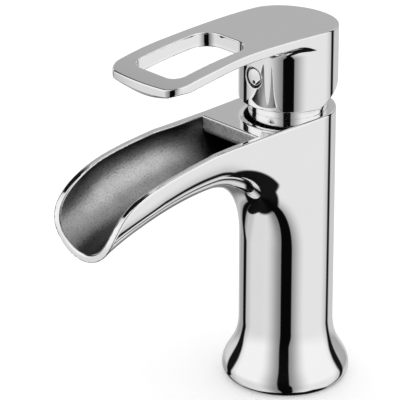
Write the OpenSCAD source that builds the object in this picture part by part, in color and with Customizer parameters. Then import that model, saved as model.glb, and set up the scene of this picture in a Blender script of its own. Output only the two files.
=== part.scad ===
/* [Body] */
// Height of the polished top face above the deck
body_h = 137.5; // [125:0.5:150]
// Diameter of the column
column_d = 44.6; // [43:0.1:48]
// Largest diameter of the foot
foot_d = 60.6; // [54:0.1:68]
// Height over which the foot flares out
foot_flare_h = 31; // [22:0.5:45]
// Height of the widest line of the foot
foot_belly_h = 4.9; // [3:0.1:8]
// Inward roll of the foot below its widest line
foot_roll = 4; // [2.5:0.1:5]
// Diameter of the hollow under the column
recess_d = 37; // [35:0.1:38]
// Depth of the hollow under the column
recess_h = 88; // [60:1:92]

/* [Spout] */
// Reach of the spout from the column axis
spout_reach = 129; // [110:1:145]
// Outer width of the spout
spout_w = 43.6; // [42:0.1:46]
// Thickness of the spout wall
spout_wall = 3.4; // [2.6:0.1:4]
// Depth from the top face to the highest line of the underside
spout_depth = 24.2; // [22:0.1:26]
// Radius of the long arc of the underside
spout_arc_r = 155; // [145:1:220]
// Distance from the column axis to where the underside starts to fall
spout_crest_y = 62; // [61.8:0.1:70]
// Inner radius of the bend between column and spout
root_bend_r = 40; // [30:0.5:40]
// Distance of the bridge front from the column axis
bridge_front = 38; // [35:0.5:42]
// Depth of the bridge above the water slot
bridge_h = 8.9; // [8:0.1:10]
// Distance from the column axis to where the rim starts to fall
rim_fall_start = 66; // [60:1:75]
// Height of the lip edge above the lowest point of the lip
lip_edge_h = 7.8; // [5:0.1:12]

/* [Waterways] */
// Distance between the hot and cold inlets
inlet_pitch = 17; // [16:0.1:18]
// Distance of the inlets in front of the axis
inlet_y = 7; // [6:0.1:8]
// Diameter of the inlet passages
inlet_d = 6.4; // [5:0.1:7]
// Wall diameter of the threaded hose inlets
hose_thread_d = 9.2; // [8.6:0.1:9.4]
// Depth of the threaded hose inlets
hose_thread_h = 12; // [8:0.5:16]
// Wall diameter of the threaded hole for the fixing stud
stud_thread_d = 6.8; // [5:0.1:7]
// Depth of the threaded hole for the fixing stud
stud_thread_h = 26; // [16:1:40]
// Wall round the fixing stud
stud_wall = 2.1; // [1.6:0.1:2.3]
// Width of the port from the cartridge to the spout
port_w = 20; // [12:0.5:22]
// Height of the port from the cartridge to the spout
port_h = 5.6; // [4:0.1:6.5]

/* [Cartridge] */
// Diameter of the cartridge bore
bore_d = 35.4; // [35:0.1:35.6]
// Depth of the cartridge bore below the top face
bore_h = 22; // [21:0.1:24]
// Diameter of the cartridge housing
housing_d = 34.6; // [34:0.1:34.8]
// Diameter of the neck of the housing
neck_d = 29.6; // [28.8:0.1:30]
// Height of the neck above the top face
neck_rise = 10.5; // [10:0.1:10.6]
// Height of the cartridge base
base_h = 10.5; // [9.5:0.1:11]
// Diameter of the fixed ceramic disc
fixed_disc_d = 27.2; // [26:0.1:27.3]
// Thickness of the fixed ceramic disc
fixed_disc_t = 3.4; // [3:0.1:3.6]
// Diameter of the moving ceramic disc
moving_disc_d = 21.2; // [20:0.1:21.4]
// Thickness of the moving ceramic disc
moving_disc_t = 3.2; // [3:0.1:3.4]
// Thickness of the disc carrier
carrier_t = 4.4; // [4:0.1:4.6]
// Diameter of the turning guide
guide_d = 25.9; // [25.4:0.1:26]
// Diameter of the hinge pin
pin_d = 3; // [2.6:0.1:3.2]
// Height of the hinge pin above the top face
pivot_rise = 5.5; // [5.2:0.1:5.8]
// Width of the square spindle
spindle_w = 7; // [6.4:0.1:7.2]
// Diameter of the ball at the end of the spindle
ball_d = 5; // [4.4:0.1:5.2]
// Largest lift of the lever in degrees
lift_angle = 25; // [18:1:25]
// Turn of the lever to each side in degrees
turn_angle = 45; // [35:1:50]

/* [Retaining nut and trim ring] */
// Step from the nut's upper wall out to its thread
nut_step = 1; // [0.9:0.05:1.1]
// Height of the threaded part of the nut
nut_thread_h = 6.7; // [5:0.1:7]
// Wall of the nut round the neck of the housing
nut_top_t = 2.4; // [1.7:0.05:2.45]
// Height of the nut above the top face
nut_rise = 5.6; // [4.5:0.1:6]
// Reach of the trim ring past the nut's wall
trim_reach = 1.25; // [1:0.05:1.5]
// Height of the trim ring
trim_h = 7.5; // [6.8:0.1:8]
// Wall of the trim ring
trim_wall = 1; // [0.8:0.05:1.05]

/* [Lever] */
// Diameter of the lever skirt at its lower edge
skirt_d = 46; // [45.6:0.1:50]
// Width of the lever plate at its waist
lever_w = 43; // [42:0.1:45]
// Width of the lever plate near its tip
lever_tip_w = 44; // [43:0.1:46]
// Gap between the top face and the skirt
skirt_gap = 4.7; // [4:0.1:6]
// Wall of the skirt
skirt_wall = 2.5; // [2:0.1:2.6]
// Height of the crest of the lever above the top face
lever_rise = 42.9; // [40.5:0.1:48.5]
// Reach of the lever from the column axis
lever_reach = 95; // [85:1:105]
// Thickness of the lever plate
lever_t = 4.5; // [4:0.1:6]
// Distance of the crest from the column axis
crest_y = 38; // [30:1:45]
// Radius of the lever top in front of the crest
crest_front_r = 290; // [250:5:400]
// Radius of the lever top behind the crest
crest_rear_r = 600; // [500:10:900]
// Distance of the rear edge of the finger loop from the axis
loop_rear = 37.5; // [34:0.5:42]
// Width of the bar at the front of the finger loop
loop_bar = 10; // [8:0.5:14]
// Width of the finger loop
loop_w = 31.4; // [28:0.1:33]
// Corner radius of the finger loop
loop_r = 6; // [4:0.5:9]
// Corner radius of the lever tip
tip_r = 11; // [7:0.5:14]
// Fillet between skirt and lever plate
neck_r = 5; // [2:0.5:6]
// Height of the grub screw above the top face
screw_rise = 19.5; // [19.1:0.1:20.5]
// Diameter of the grub screw
screw_d = 5; // [4:0.1:5.4]
// Length of the grub screw
screw_l = 8; // [6:0.5:9]
// Diameter of the plug head in the screw hole
plug_d = 8; // [7:0.1:8.8]

/* [Seals] */
// Thickness of the seal under the foot
base_seal_t = 1.6; // [1:0.1:2]
// Width of the seal under the foot
base_seal_w = 4; // [3:0.1:4.4]
// Cord thickness of the small round seals
ring_cord = 1.6; // [1.2:0.1:1.8]

/* [Hidden] */
$fn = 96;

// Small clearances
run_gap = 0.05;
seat_gap = 0.02;
slip_gap = 0.2;
free_gap = 0.4;
cut = 1;

// Radii of the body
column_r = column_d / 2;
foot_r = foot_d / 2;
spout_r = spout_w / 2;
spout_in_r = spout_r - spout_wall;
recess_r = recess_d / 2;
bore_r = bore_d / 2;

// Underside of the spout: level to its crest, then one long arc about an axis parallel to X
root_z = body_h - spout_depth;
spout_mid_z = root_z + spout_r;
spout_axis_z = root_z - spout_arc_r;
spout_mid_r = spout_arc_r + spout_r;
tip_angle = asin((spout_reach - spout_crest_y) / spout_arc_r);
lip_bottom_z = spout_axis_z + spout_arc_r * cos(tip_angle);
bend_r = root_bend_r + spout_r;
bend_z = root_z - root_bend_r;

// Levels of the cartridge
nut_sink = 0.2;
ball_floor = 1;
socket_floor = 0.7;
seat_z = body_h - bore_h;
disc_z = seat_z + base_h;
moving_z = disc_z + fixed_disc_t;
carrier_z = moving_z + moving_disc_t;
guide_z = carrier_z + carrier_t + free_gap;
pivot_z = body_h + pivot_rise;
neck_top = body_h + neck_rise;
lip_t = 1.2;
glide_t = 0.6;
guide_top = neck_top - lip_t - glide_t;
shoulder_z = body_h - nut_thread_h - nut_sink;
ball_z = carrier_z + ball_floor + ball_d / 2;
ball_arm = pivot_z - ball_z;
disc_travel = ball_arm * sin(lift_angle);
housing_r = housing_d / 2;
neck_r_out = neck_d / 2;
nut_top_d = neck_d + 2 * nut_top_t;
nut_thread_r = nut_top_d / 2 + nut_step;
trim_d = nut_top_d + 2 * trim_reach;
guide_r = guide_d / 2;
neck_r_in = guide_r + run_gap;
disc_y = disc_travel / 2;
lip_w = 2;
stop_lug = 0.8;
pin_inset = 1;
opening_r = guide_r - lip_w;
guide_neck_r = opening_r - free_gap - stop_lug;
limit_inset = 1.4;
limit_r = neck_r_out - limit_inset;
lug_half_angle = 10;
lug_spare = 3;

// Ports of the discs
port_x = 6;
port_y = 4.5;
port_r = 2.5;
outlet_y = 6;
outlet_r = 3.2;
mix_x = 3.4;
mix_r = 4.6;
mix_depth = 1.6;
rim_w = 1.2;

// Waterway of the base
duct_w = 5.6;
sill_h = 0.3;
chamber_wall = 7;
channel_h = 3;
channel_w = 4;
port_z = root_z + spout_wall + sill_h;
slot_top = body_h - bridge_h;
chamber_back = bore_r + chamber_wall;

// Curves of the foot and of the rim, as shares of their height and reach
flare_upper = 0.48;
flare_lower = 0.42;
rim_run = 29;
rim_ease = 3;
rim_dip = 6.5;
sweep_past_lip = 2;

// Grooves of the seals
groove_share = 0.7;
inlet_groove_h = ring_cord * 0.8;
disc_groove_h = ring_cord * 0.8;
base_groove_gap = 1.8;
base_groove_r = recess_r + base_groove_gap;
seal_z = body_h + nut_rise / 2 - 0.4;
housing_seal_z = disc_z + 1.2;
guide_seal_z = guide_z + 1;

// Lever
key_share = 0.58;
skirt_r = skirt_d / 2;
waist_past_crest = 12;
waist_y = crest_y + waist_past_crest;
skirt_in_r = skirt_r - skirt_wall;
skirt_z = body_h + skirt_gap;
relief_angle = lift_angle - 0.5;
relief_y = -2;
hub_r = 9;
hub_rise = 5.4;
roof_t = 6;
socket_roof = 3;
lever_top = body_h + lever_rise;
screw_z = body_h + screw_rise;
hub_z = neck_top + hub_rise;
roof_z = lever_top - lever_t - roof_t;
socket_top = roof_z - socket_roof;
spindle_top = socket_top - free_gap;
stem_share = 0.34;
boss_w = 13;
boss_h = 9.6;
sink_r = plug_d / 2 + 1;
sink_depth = 2.4;
sink_floor = skirt_r - sink_depth;
plug_stem_d = 6;
plug_stem_l = 5;
plug_end_gap = 1;
plug_back = sink_floor - plug_stem_l;
plug_inset = 0.5;
mark_d = 1.8;
mark_t = 0.6;
mark_drop = 2.3;
head_t = sink_depth - plug_inset;
loop_front = lever_reach - loop_bar;
front_bow_r = 130;
profile_steps = 24;

// Point at parameter t of the cubic curve through four control points
function bezier(a, b, c, d, t) =
    a * pow(1 - t, 3) + 3 * b * t * pow(1 - t, 2) + 3 * c * t * t * (1 - t) + d * pow(t, 3);
function bezier_points(a, b, c, d, n) = [for (i = [0 : n]) bezier(a, b, c, d, i / n)];

// Height of the lever top at a distance y in front of the axis
function crest_fall(y) = pow(y - crest_y, 2) / 2 / (y > crest_y ? crest_front_r : crest_rear_r);
function lever_z(y) = lever_top - crest_fall(y);

// Extrudes an outline drawn in (y, z) along X, centred
module across(width) {
    rotate([90, 0, 90])
        translate([0, 0, -width / 2])
            linear_extrude(width)
                children();
}

module ring(r_out, r_in, h) {
    difference() {
        cylinder(r = r_out, h = h);
        translate([0, 0, -cut]) cylinder(r = r_in, h = h + 2 * cut);
    }
}

module round_cord(r_mid, r_cord) {
    rotate_extrude() translate([r_mid, 0]) circle(r = r_cord, $fn = 32);
}

module rounded_rect(width, y_low, y_high, r) {
    translate([-width / 2, y_low + r]) square([width, y_high - y_low - 2 * r]);
    translate([-width / 2 + r, y_low]) square([width - 2 * r, y_high - y_low]);
    for (x = [-1, 1], y = [y_low + r, y_high - r])
        translate([x * (width / 2 - r), y]) circle(r = r, $fn = 48);
}

module at_inlets() {
    for (side = [-1, 1]) translate([side * inlet_pitch / 2, -inlet_y, 0]) children();
}

module at_disc_ports() {
    for (side = [-1, 1]) translate([side * port_x, -port_y, 0]) children();
}

// Body
module foot_and_column() {
    flare = bezier_points(
        [column_r, foot_flare_h], [column_r, foot_flare_h * flare_upper],
        [foot_r, foot_flare_h * flare_lower], [foot_r, foot_belly_h], 14);
    roll = [for (i = [1 : 6])
        [foot_r - foot_roll * (1 - cos(i * 15)), foot_belly_h * (1 - sin(i * 15))]];
    rotate_extrude()
        polygon(concat([[0, 0], [0, body_h], [column_r, body_h]], flare, roll));
}

// Section of the spout: half round below, straight sides above, drawn from its centre
module trough_section(r) {
    circle(r = r, $fn = 72);
    translate([0, -r]) square([spout_r + cut, 2 * r]);
}

// The section carried level from y_back to the crest, then along the long arc past the lip
module spout_sweep(r, y_back) {
    translate([0, y_back, spout_mid_z])
        rotate([90, -90, 0])
            linear_extrude(spout_crest_y + y_back) trough_section(r);
    translate([0, -spout_crest_y, spout_axis_z])
        rotate([0, 90, 0])
            rotate([0, 0, 180])
                rotate_extrude(angle = tip_angle + sweep_past_lip, $fn = 240)
                    translate([spout_mid_r, 0]) trough_section(r);
}

// Bend that carries the round column into the round underside of the spout
module root_bend() {
    intersection() {
        translate([0, -bend_r, bend_z])
            rotate([0, 90, 0])
                rotate([0, 0, 90])
                    rotate_extrude(angle = 90, $fn = 120)
                        translate([bend_r, 0]) circle(r = spout_r - run_gap, $fn = 72);
        translate([-column_d, -bend_r, bend_z - cut])
            cube([2 * column_d, bend_r + column_d, body_h - bend_z + cut]);
    }
}

// Side view of what the spout keeps: flat top, falling rim, upright lip
module rim_outline() {
    lip_z = lip_bottom_z + lip_edge_h;
    rim = bezier_points(
        [-rim_fall_start, body_h], [-spout_reach + rim_run, body_h - rim_ease],
        [-spout_reach, body_h - rim_dip], [-spout_reach, lip_z], profile_steps);
    polygon(concat([[column_d, 0], [column_d, body_h]], rim, [[-spout_reach, 0]]));
}

module trough() {
    spout_sweep(spout_in_r, -bridge_front);
    intersection() {
        spout_sweep(spout_in_r, -chamber_back);
        translate([-spout_w, -bridge_front - cut, root_z])
            cube([2 * spout_w, bridge_front + cut - chamber_back, slot_top - root_z]);
    }
}

module body_passages() {
    translate([0, 0, seat_z]) cylinder(r = bore_r, h = bore_h + cut);
    translate([0, 0, shoulder_z]) cylinder(r = nut_thread_r + seat_gap, h = bore_h);
    translate([-port_w / 2, -chamber_back - cut, port_z])
        cube([port_w, chamber_back - bore_r / 2, port_h]);
    at_inlets() {
        translate([0, 0, recess_h - cut]) cylinder(d = hose_thread_d, h = hose_thread_h + cut);
        translate([0, 0, recess_h]) cylinder(d = inlet_d, h = seat_z - recess_h + cut);
    }
}

module underside_recess() {
    pillar_r = stud_thread_d / 2 + stud_wall;
    difference() {
        translate([0, 0, -cut]) cylinder(r = recess_r, h = recess_h + cut);
        translate([0, 0, -2 * cut]) cylinder(r = pillar_r, h = recess_h + 3 * cut);
        translate([-stud_wall, 0, -2 * cut])
            cube([2 * stud_wall, recess_r + cut, recess_h + 3 * cut]);
    }
    translate([0, 0, -cut]) cylinder(d = stud_thread_d, h = stud_thread_h + cut);
}

module base_groove(extra) {
    translate([0, 0, -extra])
        ring(base_groove_r + base_seal_w, base_groove_r, base_seal_t + extra);
}

module body() {
    color("gainsboro") difference() {
        union() {
            foot_and_column();
            root_bend();
            intersection() {
                spout_sweep(spout_r, 0);
                across(2 * spout_w) rim_outline();
            }
        }
        trough();
        body_passages();
        underside_recess();
        base_groove(cut);
    }
}

module base_seal() {
    color("dimgray") base_groove(0);
}

// Lever
module lever_side() {
    front = -lever_reach;
    back = skirt_r;
    top = [for (i = [0 : profile_steps])
        let (y = back + (front - back) * i / profile_steps) [y, lever_z(-y)]];
    under = [for (i = [profile_steps : -1 : 0])
        let (y = back + (front - back) * i / profile_steps) [y, lever_z(-y) - lever_t]];
    polygon(concat(top, under));
}

// Fillet round the skirt under the plate
module neck_fillet() {
    low_z = lever_z(0) - lever_t - neck_r;
    rotate_extrude() difference() {
        translate([skirt_r - cut, low_z]) square([neck_r + cut, neck_r + cut]);
        translate([skirt_r + neck_r, low_z]) circle(r = neck_r, $fn = 48);
    }
}

// One long side of the plate: from the skirt, in to the waist, out to the tip
function lever_flank(side) =
    let (points = [[skirt_r, 0], [lever_w / 2, -waist_y], [lever_tip_w / 2, -lever_reach + 2 * tip_r]])
    [for (i = side > 0 ? [0 : 2] : [2 : -1 : 0]) [side * points[i][0], points[i][1]]];

module lever_plan() {
    intersection() {
        union() {
            rounded_rect(lever_tip_w, -lever_reach, -lever_reach + 3 * tip_r, tip_r);
            polygon(concat(lever_flank(1), lever_flank(-1)));
            circle(r = skirt_r);
        }
        translate([0, -lever_reach + front_bow_r]) circle(r = front_bow_r, $fn = 240);
    }
}

module screw_axis() {
    translate([0, 0, screw_z]) rotate([90, 0, 0]) children();
}

module lever_hollow() {
    difference() {
        translate([0, 0, skirt_z - cut]) cylinder(r = skirt_in_r, h = roof_z - skirt_z + cut);
        translate([0, 0, hub_z]) cylinder(r = hub_r, h = roof_z);
        translate([-boss_w / 2, -skirt_r, screw_z - boss_h / 2])
            cube([boss_w, skirt_r, boss_h]);
    }
}

module lever() {
    socket_w = spindle_w + 2 * run_gap;
    color("lightgray") difference() {
        union() {
            intersection() {
                union() {
                    across(2 * lever_tip_w) lever_side();
                    neck_fillet();
                }
                linear_extrude(lever_top + cut) lever_plan();
            }
            intersection() {
                translate([0, 0, skirt_z])
                    cylinder(r = skirt_r, h = lever_z(0) - skirt_z);
                across(2 * lever_tip_w)
                    polygon([
                        [-skirt_r - cut, skirt_z], [relief_y, skirt_z],
                        [skirt_r + cut, skirt_z + (skirt_r + cut - relief_y) * tan(relief_angle)],
                        [skirt_r + cut, lever_z(-skirt_r)], [0, lever_z(0)],
                        [-skirt_r - cut, lever_z(skirt_r)]
                    ]);
            }
        }
        lever_hollow();
        translate([-socket_w / 2, -socket_w / 2, skirt_z])
            cube([socket_w, socket_w, socket_top - skirt_z]);
        linear_extrude(lever_top + cut)
            rounded_rect(loop_w, -loop_front, -loop_rear, loop_r);
        screw_axis() {
            cylinder(d = screw_d + 2 * seat_gap, h = skirt_r);
            translate([0, 0, plug_back])
                cylinder(d = plug_stem_d + 2 * seat_gap, h = skirt_r);
            translate([0, 0, sink_floor]) cylinder(r = sink_r, h = skirt_r);
        }
    }
}

module grub_screw() {
    tip = spindle_w / 2 + seat_gap;
    key_d = screw_d * key_share;
    color("slategray") screw_axis() translate([0, 0, tip]) difference() {
        cylinder(d = screw_d, h = screw_l);
        translate([0, 0, screw_l - key_d]) cylinder(d = key_d, h = key_d + cut, $fn = 6);
    }
}

module indicator_plug() {
    color("silver") screw_axis() difference() {
        union() {
            translate([0, 0, sink_floor]) cylinder(d = plug_d, h = head_t);
            translate([0, 0, plug_back + plug_end_gap])
                cylinder(d = plug_stem_d, h = plug_stem_l - plug_end_gap);
        }
        translate([0, -mark_drop, sink_floor + head_t - mark_t])
            cylinder(d = mark_d + 2 * seat_gap, h = mark_t + cut);
    }
}

module hot_cold_mark() {
    color("black") screw_axis()
        translate([0, -mark_drop, sink_floor + head_t - mark_t])
            cylinder(d = mark_d, h = mark_t);
}

// Retaining nut and trim ring
module cartridge_nut() {
    slot_w = 3;
    slot_depth = 1.6;
    color("goldenrod") difference() {
        union() {
            translate([0, 0, shoulder_z]) cylinder(r = nut_thread_r, h = nut_thread_h);
            translate([0, 0, shoulder_z]) cylinder(d = nut_top_d, h = body_h + nut_rise - shoulder_z);
        }
        translate([0, 0, shoulder_z - cut])
            cylinder(r = neck_r_out + slip_gap, h = neck_rise + nut_thread_h + 2 * cut);
        translate([0, 0, seal_z]) rotate_extrude()
            translate([nut_top_d / 2 - ring_cord / 2, -ring_cord / 2])
                square([ring_cord, ring_cord]);
        for (turn = [0, 90]) rotate([0, 0, turn])
            translate([-nut_top_d, -slot_w / 2, body_h + nut_rise - slot_depth])
                cube([2 * nut_top_d, slot_w, slot_depth + cut]);
    }
}

module trim_ring() {
    color("whitesmoke") translate([0, 0, body_h]) difference() {
        cylinder(d = trim_d, h = trim_h);
        translate([0, 0, -cut]) cylinder(r = trim_d / 2 - trim_wall, h = trim_h - trim_wall + cut);
        translate([0, 0, -cut]) cylinder(r = neck_r_out + free_gap, h = trim_h + 2 * cut);
    }
}

module trim_ring_seal() {
    outer = trim_d / 2 - trim_wall - seat_gap;
    inner = nut_top_d / 2 - ring_cord / 2 + seat_gap;
    color("dimgray") translate([0, 0, seal_z])
        round_cord((outer + inner) / 2, (outer - inner) / 2);
}

// Cartridge
module cartridge_housing() {
    color("ivory") difference() {
        union() {
            translate([0, 0, disc_z]) cylinder(r = housing_r, h = shoulder_z - disc_z);
            translate([0, 0, disc_z]) cylinder(r = neck_r_out, h = neck_top - disc_z);
        }
        translate([0, 0, disc_z - cut])
            cylinder(r = fixed_disc_d / 2 + seat_gap, h = fixed_disc_t + seat_gap + cut);
        translate([0, 0, disc_z]) cylinder(r = neck_r_in, h = guide_top + glide_t - disc_z);
        translate([0, 0, disc_z]) cylinder(r = opening_r, h = neck_top);
        translate([0, 0, neck_top - lip_t / 2]) cylinder(r = limit_r + seat_gap, h = lip_t);
        translate([0, 0, housing_seal_z])
            ring(housing_r + cut, housing_r - ring_cord * groove_share, ring_cord);
    }
}

module housing_seal() {
    outer = bore_r - seat_gap;
    inner = housing_r - ring_cord * groove_share + seat_gap;
    half = min((outer - inner) / 2, ring_cord / 2);
    color("dimgray") translate([0, 0, housing_seal_z + ring_cord / 2])
        round_cord(outer - half, half);
}

module cartridge_base() {
    seal_groove_r = inlet_d / 2 + ring_cord;
    color("ivory") difference() {
        translate([0, 0, seat_z]) cylinder(r = housing_r, h = base_h);
        at_inlets() translate([0, 0, seat_z - cut]) {
            cylinder(d = inlet_d, h = base_h / 2 + cut);
            cylinder(r = seal_groove_r + seat_gap, h = cut + inlet_groove_h);
        }
        for (side = [-1, 1]) {
            port = [side * port_x, -port_y, 0];
            inlet = [side * inlet_pitch / 2, -inlet_y, 0];
            step = port - inlet;
            channel_z = [0, 0, seat_z + base_h / 2 - channel_h - sill_h];
            translate(inlet + channel_z)
                rotate([0, 0, atan2(step[1], step[0])])
                    translate([0, -channel_w / 2, 0]) cube([norm(step), channel_w, channel_h]);
            translate(port + channel_z) cylinder(r = port_r - run_gap, h = base_h);
        }
        translate([-duct_w / 2, -housing_r - cut, port_z])
            cube([duct_w, housing_r + cut + outlet_y, port_h]);
        translate([0, outlet_y, port_z]) cylinder(r = outlet_r, h = base_h);
        translate([-port_w / 2, -housing_r - cut, port_z])
            cube([port_w, housing_r + cut - inlet_y - inlet_d, port_h]);
        disc_seal_grooves(seat_gap, cut);
    }
}

module disc_seal_grooves(gap, extra) {
    h = disc_groove_h + extra;
    translate([0, 0, disc_z - disc_groove_h]) {
        at_disc_ports() ring(port_r + slip_gap + rim_w + gap, port_r + slip_gap - gap, h);
        translate([0, outlet_y, 0])
            ring(outlet_r + slip_gap + rim_w + gap, outlet_r + slip_gap - gap, h);
    }
}

module disc_seals() {
    color("dimgray") disc_seal_grooves(0, 0);
}

module inlet_seals() {
    color("dimgray") at_inlets() translate([0, 0, seat_z])
        ring(inlet_d / 2 + ring_cord, inlet_d / 2 + seat_gap, inlet_groove_h);
}

module fixed_disc() {
    color("seashell") translate([0, 0, disc_z]) difference() {
        cylinder(d = fixed_disc_d, h = fixed_disc_t);
        translate([0, 0, -cut]) {
            at_disc_ports() cylinder(r = port_r, h = fixed_disc_t + 2 * cut);
            translate([0, outlet_y, 0]) cylinder(r = outlet_r, h = fixed_disc_t + 2 * cut);
        }
    }
}

module moving_disc() {
    color("white") translate([0, 0, moving_z]) difference() {
        translate([0, disc_y, 0]) cylinder(d = moving_disc_d, h = moving_disc_t);
        for (side = [-1, 1]) translate([side * mix_x, mix_x, -cut])
            cylinder(r = mix_r, h = mix_depth + cut);
    }
}

module disc_carrier() {
    socket_r = ball_d / 2 + free_gap;
    color("khaki") difference() {
        translate([0, disc_y, carrier_z]) cylinder(d = moving_disc_d - free_gap, h = carrier_t);
        translate([0, 0, carrier_z + socket_floor]) cylinder(r = socket_r, h = carrier_t);
    }
}

module spindle_slot() {
    rise = guide_top + lip_t - pivot_z;
    half = spindle_w / 2;
    rear = rise * tan(lift_angle) + half / cos(lift_angle) + free_gap;
    front = disc_travel + ball_d / 2 + free_gap;
    translate([-half - slip_gap / 2, -front, guide_z - cut])
        cube([spindle_w + slip_gap, front + rear, neck_top - guide_z + 2 * cut]);
}

module spindle_guide() {
    groove = ring_cord * groove_share;
    neck_h = neck_top - slip_gap - guide_z;
    color("lightsteelblue") difference() {
        union() {
            translate([0, 0, guide_z]) cylinder(r = guide_r, h = guide_top - guide_z);
            translate([0, 0, guide_z]) cylinder(r = guide_neck_r, h = neck_h);
            translate([0, 0, guide_z]) rotate([0, 0, 90 - lug_half_angle])
                rotate_extrude(angle = 2 * lug_half_angle)
                    square([guide_neck_r + stop_lug, neck_h]);
        }
        spindle_slot();
        translate([0, 0, pivot_z]) rotate([0, 90, 0])
            cylinder(d = pin_d + 2 * seat_gap, h = 2 * guide_d, center = true);
        translate([0, 0, guide_seal_z]) ring(guide_r + cut, guide_r - groove, ring_cord);
    }
}

module guide_seal() {
    outer = neck_r_in - seat_gap;
    inner = guide_r - ring_cord * groove_share + seat_gap;
    half = (outer - inner) / 2;
    color("dimgray") translate([0, 0, guide_seal_z + ring_cord / 2]) round_cord(outer - half, half);
}

module glide_ring() {
    color("white") translate([0, 0, guide_top])
        ring(guide_r - seat_gap, guide_neck_r + stop_lug + slip_gap, glide_t - seat_gap);
}

module hot_limit_ring() {
    stop_angle = turn_angle + lug_half_angle + lug_spare;
    color("firebrick") translate([0, 0, neck_top - lip_t / 2]) {
        ring(limit_r, opening_r + run_gap, lip_t / 2);
        rotate([0, 0, 90 + stop_angle])
            rotate_extrude(angle = 360 - 2 * stop_angle)
                translate([guide_neck_r + slip_gap, 0])
                    square([opening_r - guide_neck_r, lip_t / 2]);
    }
}

module spindle() {
    shank_z = pivot_z - spindle_w / 2 - slip_gap;
    stem_r = ball_d * stem_share;
    color("burlywood") difference() {
        union() {
            translate([-spindle_w / 2, -spindle_w / 2, shank_z])
                cube([spindle_w, spindle_w, spindle_top - shank_z]);
            translate([0, 0, ball_z]) cylinder(r = stem_r, h = shank_z - ball_z + cut);
            translate([0, 0, ball_z]) sphere(d = ball_d, $fn = 48);
        }
        translate([0, 0, pivot_z]) rotate([0, 90, 0])
            cylinder(d = pin_d + 2 * run_gap, h = 2 * spindle_w, center = true);
    }
}

module spindle_pin() {
    color("slategray") translate([0, 0, pivot_z]) rotate([0, 90, 0])
        cylinder(d = pin_d, h = guide_d - pin_inset, center = true);
}

body();
base_seal();
lever();
grub_screw();
indicator_plug();
hot_cold_mark();
trim_ring();
trim_ring_seal();
cartridge_nut();
cartridge_housing();
housing_seal();
cartridge_base();
inlet_seals();
disc_seals();
fixed_disc();
moving_disc();
disc_carrier();
spindle_guide();
guide_seal();
glide_ring();
hot_limit_ring();
spindle();
spindle_pin();
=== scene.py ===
"""Looks of a single-lever basin mixer tap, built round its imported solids.

The frame is the part's own: metres, +Z up the column, -Y along the spout.
"""

import math

import bmesh
import bpy
import numpy as np
from mathutils import Matrix, Vector


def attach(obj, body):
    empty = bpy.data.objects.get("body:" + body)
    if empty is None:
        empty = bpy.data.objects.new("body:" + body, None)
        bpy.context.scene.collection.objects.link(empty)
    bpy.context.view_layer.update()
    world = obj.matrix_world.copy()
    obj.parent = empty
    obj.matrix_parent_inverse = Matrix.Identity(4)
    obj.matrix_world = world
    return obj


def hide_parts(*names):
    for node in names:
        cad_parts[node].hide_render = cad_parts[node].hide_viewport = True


bl_info = {
    "name": "Basin mixer tap",
    "version": (1, 0, 0),
    "blender": (4, 5, 0),
    "location": "3D View > Sidebar > Tap",
    "description": "Builds the polished casting, lever and trim of a basin mixer tap",
    "category": "Add Mesh",
}

MM = 0.001
WELD = 1e-7
SHARP = math.radians(35)
EDGE_BLEND = 2.2
GRAIN_DEPTH = 0.3 * MM
ARC_STEPS, PLUG_POINTS, RING_POINTS = 6, 32, 144

# The camera was solved from the outlines in the photograph
VIEW_TURN, VIEW_PITCH = math.radians(46.204), math.radians(23.582)
VIEW_PLACE = (0.97015, -0.98669, 0.69291)
FOCAL_PIXELS, PICTURE_PIXELS, SENSOR_WIDTH = 3216.4, 400, 36

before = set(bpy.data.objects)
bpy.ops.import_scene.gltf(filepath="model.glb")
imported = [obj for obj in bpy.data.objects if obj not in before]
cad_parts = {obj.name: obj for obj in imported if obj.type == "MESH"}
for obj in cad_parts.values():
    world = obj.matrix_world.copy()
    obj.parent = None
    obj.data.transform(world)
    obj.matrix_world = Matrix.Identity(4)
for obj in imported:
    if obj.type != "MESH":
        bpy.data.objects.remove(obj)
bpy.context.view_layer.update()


def length(name, value, text):
    """A size in millimetres, kept as a Blender length."""
    return bpy.props.FloatProperty(
        name=name, description=text, default=value * MM, min=0, unit="LENGTH", precision=5)


def grey(level, warmth=0.0):
    """A grey, a little warm or cool, as a colour."""
    return (level + warmth, level, level - warmth, 1)


def tint(name, value, text):
    """A colour that a user may change."""
    return bpy.props.FloatVectorProperty(
        name=name, description=text, default=value, min=0, max=1, size=4, subtype="COLOR")


class TapBodySizes(bpy.types.PropertyGroup):
    """Sizes of the cast body."""

    height: length("Height", 137.5, "Height of the top face")
    radius: length("Column radius", 22.3, "Radius of the column")
    foot_radius: length("Foot radius", 30.3, "Largest radius of the foot")
    foot_height: length("Foot height", 31, "Height over which the foot flares")
    belly_height: length("Belly height", 4.9, "Height of the widest line of the foot")
    foot_roll: length("Foot roll", 4, "Inward roll under the widest line")
    reach: length("Reach", 129, "Reach of the spout")
    section: length("Section", 21.8, "Radius of the half-round underside")
    wall: length("Wall", 3.4, "Thickness of the spout's floor")
    depth: length("Depth", 24.2, "Depth of the spout at its root")
    bend: length("Bend", 40, "Inner radius of the bend from column to spout")
    arc: length("Arc", 155, "Radius of the falling underside")
    fall_start: length("Fall start", 66, "Where the rim starts to fall")
    lip_edge: length("Lip edge", 7.8, "Height of the upright part of the lip")
    bridge_front: length("Bridge front", 38, "Distance of the bridge from the axis")
    bridge: length("Bridge", 8.9, "Depth of the bridge over the slot")
    edge: length("Edge", 0.45, "Rounding of the rim's edges")
    cell: length("Cell", 0.75, "Cell size of the body's mesh")


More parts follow.
